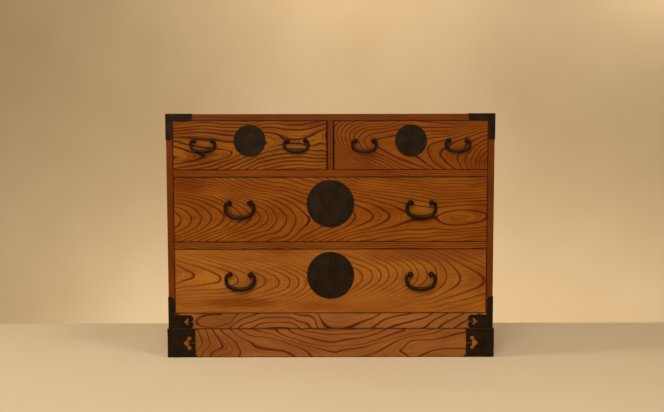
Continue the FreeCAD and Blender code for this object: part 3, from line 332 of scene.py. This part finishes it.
upper_right_wood = zelkova(
    "zelkova_upper_right", ALONG_X, DRAWER_FACE, (12.9, 582.1, 702.8, 885),
    rings=[(13, 17.59), (30, 16.68), (50, 15.33), (75, 13.72), (100, 12.27), (125, 11.07), (150, 10.24),
           (180, 9.78), (210, 9.44), (250, 9.11), (290, 8.89), (340, 8.38), (390, 7.33), (430, 6.67),
           (470, 6), (500, 4.94), (530, 3.43), (560, 1.51), (582, 0.38)],
    centre=[(13, 837), (70, 824), (130, 808), (190, 799), (340, 776), (460, 746), (582, 714)],
    width=[(13, 1.12), (150, 1.24), (300, 0.84), (450, 0.93), (582, 0.89)],
    profile=[(-220, 16.2), (-150, 9.48), (-105, 5.18), (-75, 3.3), (-50, 1.46), (-30, 0.58), (-15, 0.22),
             (0, 0), (15, 0.13), (30, 0.6), (50, 1.46), (75, 3.34), (105, 5.89), (150, 10.25),
             (220, 17.44)],
    swirls=[((500, 830), (120, 60), 20, -1.41), ((350, 850), (140, 50), 0, 0.75),
            ((90, 730), (90, 40), 0, 0.51)],
    clouds=[((535, 740), (90, 60), -0.35), ((150, 735), (80, 50), -0.25)],
    light="#924F0B", middle="#6A2E01", line="#3B0400", seed=2, faintest=0.85, bands=(0.18, 0.42), fade=0.8,
)
middle_wood = zelkova(
    "zelkova_middle", ALONG_X, DRAWER_FACE, (-582.1, 582.1, 434.8, 677),
    rings=[(-582, 0.37), (-550, 1.14), (-515, 2.05), (-480, 3), (-445, 3.95), (-400, 4.91), (-350, 6.41),
           (-300, 7.94), (-250, 9.41), (-200, 11.06), (-150, 12.39), (-100, 13.71), (-60, 14.28),
           (-20, 14.88), (20, 15.51), (60, 16.31), (100, 17.18), (150, 17.9), (190, 18.61), (230, 19.2),
           (270, 19.73), (310, 20), (345, 20.04), (380, 20.07), (430, 19.61), (476, 19.41), (520, 19.54),
           (560, 19.81), (582, 20.01)],
    centre=[(-582, 521), (-480, 527), (-380, 532), (-250, 530), (-120, 522), (0, 527), (150, 535),
            (280, 532), (400, 526), (500, 529), (582, 534)],
    width=[(-582, 1.1), (-450, 0.97), (-350, 1.19), (-220, 1), (-100, 0.82), (20, 0.93), (150, 1.03),
           (300, 0.95), (450, 1.2), (582, 1.08)],
    profile=[(-220, 10.44), (-150, 6.68), (-105, 4.36), (-75, 2.93), (-50, 1.25), (-30, 0.45),
             (-15, 0.09), (0, 0), (15, 0.25), (30, 0.64), (50, 1.56), (75, 3.22), (105, 5.91),
             (150, 9.33), (220, 12.88)],
    swirls=[((-500, 700), (180, 110), 0, 1.23), ((-300, 690), (220, 100), 0, -0.7),
            ((-60, 700), (240, 100), 0, -1.02), ((130, 700), (180, 90), 0, 0.77),
            ((-450, 420), (220, 90), 0, 1.07), ((-200, 420), (220, 90), 0, -0.75),
            ((20, 420), (220, 90), 0, 1.07), ((250, 420), (240, 80), 0, 0.1),
            ((290, 700), (180, 90), 0, 0.78), ((420, 640), (160, 60), 0, -0.82),
            ((540, 420), (200, 90), 0, 1.25)],
    clouds=[((-530, 660), (160, 70), -0.5), ((-190, 556), (120, 60), -0.3), ((150, 650), (90, 50), 0.3),
            ((190, 556), (100, 40), -0.3), ((350, 545), (110, 60), 0.35), ((330, 465), (90, 50), 0.25),
            ((555, 556), (70, 60), -0.3)],
    light="#9A570E", middle="#723100", line="#3E0400", seed=3, faintest=0.9, fade=0.7,
)
lower_wood = zelkova(
    "zelkova_lower", ALONG_X, DRAWER_FACE, (-582.1, 582.1, 166.8, 409),
    rings=[(-582, 1.06), (-550, 1.65), (-500, 2.13), (-455, 2.6), (-410, 3.05), (-350, 3.95),
           (-290, 5.15), (-240, 6.07), (-190, 7.09), (-150, 8.06), (-110, 9.29), (-60, 11.04), (0, 13.02),
           (60, 15.23), (110, 16.77), (145, 17.72), (180, 18.8), (215, 19.9), (250, 21.06), (280, 22.11),
           (300, 22.88), (320, 23.77), (345, 24.59), (385, 25.68), (430, 26.95), (480, 27.96),
           (530, 28.57), (582, 29.12)],
    centre=[(-582, 316), (-480, 306), (-380, 294), (-250, 287), (-120, 283), (0, 287), (150, 307),
            (280, 312), (400, 308), (480, 297), (582, 287)],
    width=[(-582, 1.07), (-350, 1.11), (-100, 1.15), (150, 1.04), (300, 0.95), (450, 0.73), (582, 0.87)],
    profile=[(-220, 16.61), (-150, 9.93), (-105, 5.6), (-75, 3.16), (-50, 1.46), (-30, 0.55), (-15, 0.13),
             (0, 0), (15, 0.12), (30, 0.53), (50, 1.45), (75, 3), (105, 5.3), (150, 8.06), (220, 12.33)],
    swirls=[((-500, 430), (180, 100), 0, -0.29), ((-300, 430), (200, 100), 0, -0.1),
            ((-500, 150), (200, 100), 0, -1.93), ((-300, 150), (200, 90), 0, -1.57),
            ((-120, 430), (180, 90), 0, 0.66), ((-100, 150), (200, 90), 0, -1.51),
            ((60, 430), (180, 90), 0, -2.28), ((100, 150), (200, 90), 0, 2.21),
            ((240, 430), (180, 90), 0, 0.76), ((300, 150), (200, 90), 0, -0.27),
            ((420, 430), (180, 90), 0, 0.78), ((480, 150), (220, 90), 0, -0.42),
            ((560, 400), (120, 80), 0, 0.37)],
    clouds=[((380, 405), (420, 75), -0.75), ((-230, 405), (220, 60), -0.4), ((-450, 290), (190, 60), 0.5),
            ((575, 290), (90, 110), -0.4), ((-330, 206), (240, 27), -0.8),
            ((-60, 192), (210, 24), -0.35)],
    light="#AE6A20", middle="#834310", line="#5A1400", seed=4, faintest=0.8, fade=0.2,
)
bottom_rail_wood = zelkova(
    "zelkova_bottom_rail", ALONG_X, DRAWER_FACE, (-583, 583, 109, 166),
    rings=[(-582, 2.5), (-520, 1.75), (-469, 1.5), (-405, 1.7), (-379, 2.1), (-353, 2.9), (-301, 4),
           (-190, 5.2), (-115, 4), (-71, 3), (-48, 2.1), (-19, 1.2), (19, 1), (149, 2), (212, 3), (342, 4),
           (398, 5), (461, 6), (582, 8)],
    centre=[(-583, 109), (583, 109.5)],
    width=[(-582, 0.3), (-440, 0.3), (-380, 1.2), (-300, 1.5), (-190, 1.8), (-110, 1.3), (-30, 0.6),
           (40, 0.5), (149, 1), (582, 1)],
    profile=[(0, 0), (20, -0.45), (57, -1.6), (110, -3)],
    swirls=[((-437, 135), (111, 35), 3, -1.12)],
    clouds=[((-430, 137), (170, 60), -0.5), ((250, 137), (230, 60), 0.3)],
    light="#A5652E", middle="#814719", line="#430A00", faintest=0.85, bands=(0.3, 0.28), fade=0.95,
    edge_lacquer_and_shade=0.2, seed=5,
)
base_wood = zelkova(
    "zelkova_base", ALONG_X, BASE_FACE, (-610, 610, 0, 109),
    rings=[(-610, -5.05), (-540, -2.37), (-500, -0.83), (-470, 0.2), (-445, 1.03), (-415, 1.68),
           (-375, 2.27), (-325, 3.25), (-275, 3.75), (-220, 3.79), (-150, 4.22), (-70, 5.29), (0, 5.61),
           (60, 5.23), (120, 5.02), (170, 4.8), (220, 4.43), (270, 3.97), (320, 3.47), (400, 3.63),
           (500, 3.52), (610, 3.4)],
    centre=[(-610, 60), (-500, 47), (-420, 33), (-330, 19), (-220, 6), (-80, -5), (60, -6), (170, 7),
            (270, 25), (370, 43), (480, 62), (610, 79)],
    width=[(-610, 1.48), (-450, 0.53), (-300, 0.5), (-100, 0.87), (100, 0.98), (300, 0.86), (450, 0.83),
           (610, 0.73)],
    profile=[(-110, 3), (-80, 2.09), (-55, 1.33), (-38, 0.82), (-24, 0.4), (-12, 0.16), (0, 0),
             (12, 0.26), (24, 0.52), (38, 0.96), (55, 2.22), (80, 3.15), (110, 4.94)],
    swirls=[((-480, 10), (150, 60), 0, 0.99), ((-330, 100), (150, 50), 0, 0.84),
            ((-180, 95), (160, 45), 0, 0.85), ((0, 100), (160, 50), 0, -0.09),
            ((150, 95), (140, 45), 0, 0.18), ((330, 95), (150, 40), 0, 0.68),
            ((430, 10), (140, 45), 0, 0.28), ((300, 45), (90, 40), 0, -0.12),
            ((-100, 20), (160, 50), 0, -0.53)],
    clouds=[((-430, 55), (200, 90), -0.45)], edge_lacquer_and_shade=0.8,
    light="#A4642B", middle="#7E4516", line="#4E0F00", seed=6, faintest=0.9, bands=(0.13, 0.3), fade=0.85,
)
# The upper rail is coloured darker than the lower rail as painted shade: the front is lit less higher up.
upper_rail_wood = zelkova(
    "zelkova_upper_rail", ALONG_X, DRAWER_FACE, (-583, 583, 500, 880),
    rings=[(-583, 0.4), (-400, 1.2), (-150, 0.5), (40, 1.6), (220, 0.9), (410, 1.9), (583, 1)],
    centre=[(-583, 640), (-330, 643), (-120, 637), (90, 642), (340, 636), (583, 640)],
    width=[(-583, 1), (583, 1.02)],
    profile=[(0, 0), (240, 32)],
    light="#8E4708", middle="#622802", line="#300C00", faintest=0.6, bands=(0.25, 0.35), seed=14,
)
lower_rail_wood = zelkova(
    "zelkova_lower_rail", ALONG_X, DRAWER_FACE, (-583, 583, 300, 800),
    rings=[(-583, 0.2), (-380, 1.4), (-180, 0.4), (0, 1.8), (190, 0.6), (380, 1.6), (583, 0.6)],
    centre=[(-583, 300), (-400, 297), (-240, 305), (-110, 296), (20, 303), (170, 296), (330, 303),
            (583, 299)],
    width=[(-583, 1), (583, 1.02)],
    profile=[(0, 0), (500, 58)],
    light="#995510", middle="#6A3004", line="#360400", faintest=0.7, bands=(0.3, 0.42), fade=0.95, seed=7,
)
WIDE_BOARD_PROFILE = [(-300, 22), (-200, 13.5), (-120, 7), (-60, 2.2), (-25, 0.5), (0, 0), (25, 0.4),
                      (60, 2), (120, 6.6), (200, 13), (300, 21)]
top_wood = zelkova(
    "zelkova_top_board", (0, 1, 2), 909, (-616, 616, -240, 248),
    rings=[(-606, 0.3), (-380, 3), (-150, 6.5), (60, 11), (250, 14), (420, 16.2), (606, 18)],
    centre=[(-606, 30), (-300, 12), (0, 22), (300, -8), (606, 5)],
    width=[(-606, 0.9), (-200, 0.8), (200, 1), (606, 1.1)],
    profile=WIDE_BOARD_PROFILE,
    swirls=[((330, 60), (150, 70), 10, 1.4), ((-280, -60), (170, 60), -8, 1.2)],
    light="#7E3F08", middle="#5C2802", line="#260800", depth_mm=9, seed=8,
)
side_wood = zelkova(
    "zelkova_side_boards", (2, 1, 0), -606, (90, 930, -240, 248),
    rings=[(109, 0.4), (280, 3.2), (450, 7.5), (620, 11), (760, 13.6), (909, 15)],
    centre=[(109, 30), (350, 8), (600, 24), (909, 4)],
    width=[(109, 0.9), (500, 0.8), (909, 1)],
    profile=WIDE_BOARD_PROFILE,
    swirls=[((560, -40), (150, 60), 6, 1.5)],
    light="#7B3A06", middle="#5C2602", line="#240700", depth_mm=9, seed=9,
)
divider_wood = zelkova(
    "zelkova_divider", ALONG_Z, DRAWER_FACE, (700, 888, -12, 12),
    rings=[(702, 0.3), (800, 0.8), (886, 0.4)],
    centre=[(702, -60), (886, -56)],
    width=[(702, 1), (886, 1.02)],
    profile=[(0, 0), (120, 13)],
    light="#7B3A06", middle="#5C2602", line="#240700", seed=10,
)
base_side_wood = zelkova(
    "zelkova_base_sides", (1, 2, 0), -610, (-240, 250, 0, 109),
    rings=[(-221, 0.2), (-60, 2.4), (120, 5), (238, 6.4)],
    centre=[(-221, 40), (0, 70), (238, 50)],
    width=[(-221, 1), (238, 1.02)],
    profile=[(-110, 6), (-60, 2.4), (-25, 0.5), (0, 0), (25, 0.5), (60, 2.4), (110, 6)],
    light="#9E5D26", middle="#7C4416", line="#451906", seed=11,
)

inner_boards = paulownia("paulownia_boards", (0, 1, 2), 1)
inner_sides = paulownia("paulownia_drawer_sides", (1, 2, 0), 2)
inner_back = paulownia("paulownia_upright_boards", (0, 2, 1), 3)
BACK_PLANKS = 5
back_low, back_high = (corner[2] * MM_PER_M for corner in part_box("back_boards"))
back_planks = paulownia("paulownia_back_planks", (0, 2, 1), 4, back_low,
                        (back_high - back_low) / BACK_PLANKS)

plate_iron = black_iron("blackened_iron_plate")
handle_iron = black_iron("blackened_iron_wrought", dark="#22180C", worn="#362715", marks_mm=9)
lock_iron = black_iron("lock_iron_filed", dark="#3A3733", worn="#565049", marks_mm=20)

FINISHES = {
    "top_board": top_wood,
    "left_side_board": side_wood,
    "right_side_board": side_wood,
    "centre_divider": divider_wood,
    "upper_rail": upper_rail_wood,
    "lower_rail": lower_rail_wood,
    "bottom_rail": bottom_rail_wood,
    "base_front_rail": base_wood,
    "base_side_rails": base_side_wood,
    "base_back_rail": base_wood,
    "base_glue_blocks": inner_back,
    "bottom_board": inner_boards,
    "back_boards": back_planks,
    "upper_dust_board": inner_boards,
    "lower_dust_board": inner_boards,
    "drawer_stops": inner_boards,
    "top_corner_plates": plate_iron,
    "bottom_corner_plates": plate_iron,
    "base_corner_plates": plate_iron,
    "corner_plate_nails": plate_iron,
}
for drawer, wood in (("upper_left", upper_left_wood), ("upper_right", upper_right_wood),
                     ("middle", middle_wood), ("lower", lower_wood)):
    FINISHES[drawer + "_drawer_front"] = wood
    FINISHES[drawer + "_drawer_bottom"] = inner_boards
    FINISHES[drawer + "_drawer_sides"] = inner_sides
    FINISHES[drawer + "_drawer_back"] = inner_back
    FINISHES[drawer + "_lock_plate"] = plate_iron
    FINISHES[drawer + "_lock_case"] = lock_iron
    FINISHES[drawer + "_lock_bolt"] = lock_iron
    FINISHES[drawer + "_handle_posts"] = handle_iron
    FINISHES[drawer + "_left_bail"] = handle_iron
    FINISHES[drawer + "_right_bail"] = handle_iron

for name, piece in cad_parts.items():
    piece.data.materials.clear()
    piece.data.materials.append(FINISHES[name])


# Bails, forged: each is one bar, thickest at the grip and drawn down to pins that turn in the posts' eyes.


def forged_bar():
    """Geometry nodes that sweep a slightly uneven bar along a line in the XZ plane. Its radius there is the
    line's own, and along Y it is Depth times that."""
    tree = bpy.data.node_groups.new("forged_bar", "GeometryNodeTree")
    for label, kind in (("Line", "Geometry"), ("Step", "Float"), ("Sides", "Int"), ("Unevenness", "Float"),
                        ("Unevenness length", "Float"), ("Depth", "Float"), ("Iron", "Material")):
        tree.interface.new_socket(label, in_out="INPUT", socket_type="NodeSocket" + kind)
    tree.interface.new_socket("Bar", in_out="OUTPUT", socket_type="NodeSocketGeometry")
    given = add(tree, "NodeGroupInput").outputs
    line = add(tree, "GeometryNodeResampleCurve", {"Curve": given["Line"], "Length": given["Step"]},
               mode="LENGTH")
    often = calc(tree, "DIVIDE", 1.0, given["Unevenness length"])
    hammered = add(tree, "ShaderNodeTexNoise", {"Scale": often}, {"Detail": 1.0})
    change = calc(tree, "MULTIPLY", calc(tree, "SUBTRACT", hammered.outputs[0], 0.5), given["Unevenness"])
    given_radius = add(tree, "GeometryNodeInputRadius").outputs[0]
    thickness = calc(tree, "ADD", given_radius, change)
    round_line = add(tree, "GeometryNodeSetCurveRadius",
                     {"Curve": line.outputs[0], "Radius": thickness})
    section = add(tree, "GeometryNodeCurvePrimitiveCircle", {"Resolution": given["Sides"]},
                  {"Radius": 1.0})
    swept = add(tree, "GeometryNodeCurveToMesh",
                {"Curve": round_line.outputs[0], "Profile Curve": section.outputs[0],
                 "Scale": given_radius}, {"Fill Caps": True})
    smooth = add(tree, "GeometryNodeSetShadeSmooth", {"Geometry": swept.outputs[0]})
    oval = add(tree, "ShaderNodeCombineXYZ", {"Y": given["Depth"]}, {"X": 1.0, "Z": 1.0})
    flat = add(tree, "GeometryNodeTransform", {"Geometry": smooth.outputs[0], "Scale": oval.outputs[0]})
    real = add(tree, "GeometryNodeRealizeInstances", {"Geometry": flat.outputs[0]})
    finished = add(tree, "GeometryNodeSetMaterial",
                   {"Geometry": real.outputs[0], "Material": given["Iron"]})
    add(tree, "NodeGroupOutput", {"Bar": finished.outputs[0]})
    return tree


# One half of each kind's line in mm, knob to middle: x, z, the line's direction there, how far it is drawn
# out straight before and behind, and the bar's radius.
HALF_BAILS = {
    "large": [
        (27.6, 0, (1, 0), 0.1, 0.1, 4.2), (28.4, 0, (1, 0), 0.2, 0.5, 5), (30.2, 0, (1, 0), 0.5, 0.1, 5),
        (30.6, 0, (1, 0), 0.1, 3, 3.4), (47.2, 0, (1, 0), 3, 0.1, 3.4), (47.5, 0, (1, 0), 0.1, 4, 4.7),
        (53.0, -19, (0, -1), 13, 19, 6.5), (0, -54, (-1, 0), 37, 37, 8.1),
    ],
    "small": [
        (24.2, 0, (1, 0), 0.1, 0.1, 3.5), (24.9, 0, (1, 0), 0.2, 0.4, 4.2),
        (26.5, 0, (1, 0), 0.4, 0.1, 4.2), (26.8, 0, (1, 0), 0.1, 3, 2.8), (40.0, 0, (1, 0), 3, 0.1, 2.8),
        (40.3, 0, (1, 0), 0.1, 3, 3.8), (44.6, -14, (0, -1), 10, 14, 5.3),
        (0, -39.5, (-1, 0), 31, 31, 6.6),
    ],
}
# Each drawer's bails, in mm: their kind, the X midway between the two, how far each is from there, and the
# Y and Z of their pins.
PULLS = {
    "upper_left": ("small", -297.5, 172, -227.75, 811),
    "upper_right": ("small", 297.5, 172, -227.75, 811),
    "middle": ("large", 0, 336, -230.25, 581),
    "lower": ("large", 0, 336, -230.25, 313),
}
BAR_INPUTS = {"Step": 0.0012, "Sides": 28, "Unevenness": 0.0007, "Unevenness length": 0.012,
              "Depth": 0.84, "Iron": handle_iron}


def bail_line(kind):
    """The whole line of a bail, in metres: one half and its mirror image."""
    half = HALF_BAILS[kind]
    mirrored = [(-x, z, (ax, -az), on, back, radius) for x, z, (ax, az), back, on, radius in half[-2::-1]]
    data = bpy.data.curves.new(kind + "_bail_line", "CURVE")
    data.dimensions = "3D"
    spline = data.splines.new("BEZIER")
    spline.bezier_points.add(len(half) + len(mirrored) - 1)
    for point, (x, z, (ax, az), back, on, radius) in zip(spline.bezier_points, half + mirrored):
        point.handle_left_type = point.handle_right_type = "FREE"
        point.co = Vector((x, 0, z)) / MM_PER_M
        point.handle_left = Vector((x - ax * back, 0, z - az * back)) / MM_PER_M
        point.handle_right = Vector((x + ax * on, 0, z + az * on)) / MM_PER_M
        point.radius = radius / MM_PER_M
    return data


bar_tree = forged_bar()
lines = {kind: bail_line(kind) for kind in HALF_BAILS}
for drawer, (kind, centre_x, offset_x, pivot_y, pivot_z) in PULLS.items():
    for side, sign in (("left", -1), ("right", 1)):
        node = drawer + "_" + side + "_bail"
        carrier = bpy.data.objects.new(node + "_line", lines[kind])
        bpy.context.scene.collection.objects.link(carrier)
        modifier = carrier.modifiers.new("bar", "NODES")
        modifier.node_group = bar_tree
        for item in bar_tree.interface.items_tree:
            if item.name in BAR_INPUTS:
                modifier[item.identifier] = BAR_INPUTS[item.name]
        swept = carrier.evaluated_get(bpy.context.evaluated_depsgraph_get())
        shape = bpy.data.meshes.new_from_object(swept)
        bpy.data.objects.remove(carrier)
        pins = Vector((centre_x + sign * offset_x, pivot_y, pivot_z)) / MM_PER_M
        shape.transform(Matrix.Translation(pins))
        bail = bpy.data.objects.new(node + "_forged", shape)
        bpy.context.scene.collection.objects.link(bail)
        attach(bail, node)
        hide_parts(node)


# Floor, backdrop, light and camera


def paper(name, colour, shade, strength, feature_mm):
    """Pale matt paper, up to strength of the way from colour to shade in spots about feature_mm wide."""
    material = new_material(name)
    tree = material.node_tree
    place = add(tree, "ShaderNodeTexCoord").outputs["Object"]
    uneven = add(tree, "ShaderNodeTexNoise", {"Vector": place},
                 {"Scale": MM_PER_M / feature_mm, "Detail": 3.0, "Roughness": 0.5})
    share = remap(tree, uneven.outputs["Fac"], 0.3, 0.7, 0, strength)
    surface = add(tree, "ShaderNodeBsdfPrincipled", {"Base Color": mix(tree, share, colour, shade)},
                  {"Roughness": 0.9, "Specular IOR Level": 0.1})
    return finish_material(material, surface)


def sheet_mesh(name, corners, material):
    """One flat face, part of the stage."""
    mesh = bpy.data.meshes.new(name)
    mesh.from_pydata(corners, [], [range(len(corners))])
    mesh.materials.append(material)
    made = bpy.data.objects.new(name, mesh)
    bpy.context.scene.collection.objects.link(made)
    return made


# The Y of the floor's back edge, close behind the chest as in the photo, and of the backdrop beyond it
FLOOR_EDGE = 0.376
BACKDROP_Y = 4.2
floor_paper = paper("floor_paper", "#DCC19A", "#CFB287", 0.35, 900)
# The backdrop's broad spots are painted light and shade, for the wrinkles of an unevenly lit cloth.
backdrop_paper = paper("backdrop_paper", "#C4A87F", "#B8996F", 0.9, 1500)
sheet_mesh("floor", [(-6, -6, 0), (6, -6, 0), (6, FLOOR_EDGE, 0), (-6, FLOOR_EDGE, 0)], floor_paper)
sheet_mesh("backdrop", [(-11, BACKDROP_Y, -2.1), (11, BACKDROP_Y, -2.1), (11, BACKDROP_Y, 6.1),
                        (-11, BACKDROP_Y, 6.1)], backdrop_paper)


def lamp(name, aim, azimuth, elevation, distance, width, power, height=None):
    """A soft lamp of so many watts that shines on aim from a distance, square where no height is given.
    Azimuth 0 is in front of the chest and 90 to its right."""
    turn, lift = math.radians(azimuth), math.radians(elevation)
    way = Vector((math.sin(turn) * math.cos(lift), -math.cos(turn) * math.cos(lift), math.sin(lift)))
    data = bpy.data.lights.new(name, "AREA")
    data.shape = "RECTANGLE"
    data.size = width
    data.size_y = height or width
    data.energy = power
    made = bpy.data.objects.new(name, data)
    made.location = Vector(aim) + way * distance
    made.rotation_mode = "QUATERNION"
    made.rotation_quaternion = way.to_track_quat("Z", "Y")
    made.visible_camera = False
    bpy.context.scene.collection.objects.link(made)


lamp("key_lamp", (0, 0, 0.4), -75, 52, 4.0, 0.6, 40)
lamp("right_lamp", (0, 0, 0.4), 40, 62, 4.0, 0.8, 30)
lamp("front_lamp", (0, 0, 0.2), -8, 38, 5.0, 2.5, 120)
# Three lamps for the backdrop alone, one hidden behind the floor's edge and two above the picture.
lamp("low_backdrop_lamp", (0.6, BACKDROP_Y, -1.3), 0, -5, 1.6, 6.8, 103, height=2.6)
lamp("high_backdrop_lamp", (0.2, BACKDROP_Y, 2.38), 0, 24, 1.65, 0.9, 36)
lamp("corner_backdrop_lamp", (3.0, BACKDROP_Y, 2.45), 0, 20, 0.9, 0.6, 15)

world = bpy.data.worlds.new("studio")
world.use_nodes = True
world.node_tree.nodes.clear()
sky = add(world.node_tree, "ShaderNodeBackground", values={"Color": linear("#FFF6E8"), "Strength": 0.32})
add(world.node_tree, "ShaderNodeOutputWorld", {"Surface": sky.outputs[0]})
bpy.context.scene.world = world

# The photo's camera, fitted to the corners of the chest's front
IMAGE_WIDTH_PX = 664
FOCAL_PX = 857
SHIFT_PX = 0.58
CAMERA_PLACE = (0.0036, -3.3849, 0.8201)
DOWNWARD_DEGREES = 4.527
ROLL_DEGREES = -0.107
camera_data = bpy.data.cameras.new("camera")
camera_data.sensor_width = 36
camera_data.lens = FOCAL_PX * camera_data.sensor_width / IMAGE_WIDTH_PX
camera_data.shift_x = SHIFT_PX / IMAGE_WIDTH_PX
camera = bpy.data.objects.new("camera", camera_data)
tilt = Matrix.Rotation(math.radians(90 - DOWNWARD_DEGREES), 4, "X")
roll = Matrix.Rotation(math.radians(ROLL_DEGREES), 4, "Z")
camera.matrix_world = Matrix.Translation(CAMERA_PLACE) @ tilt @ roll
bpy.context.scene.collection.objects.link(camera)
bpy.context.scene.camera = camera
bpy.context.scene.view_settings.view_transform = "Standard"
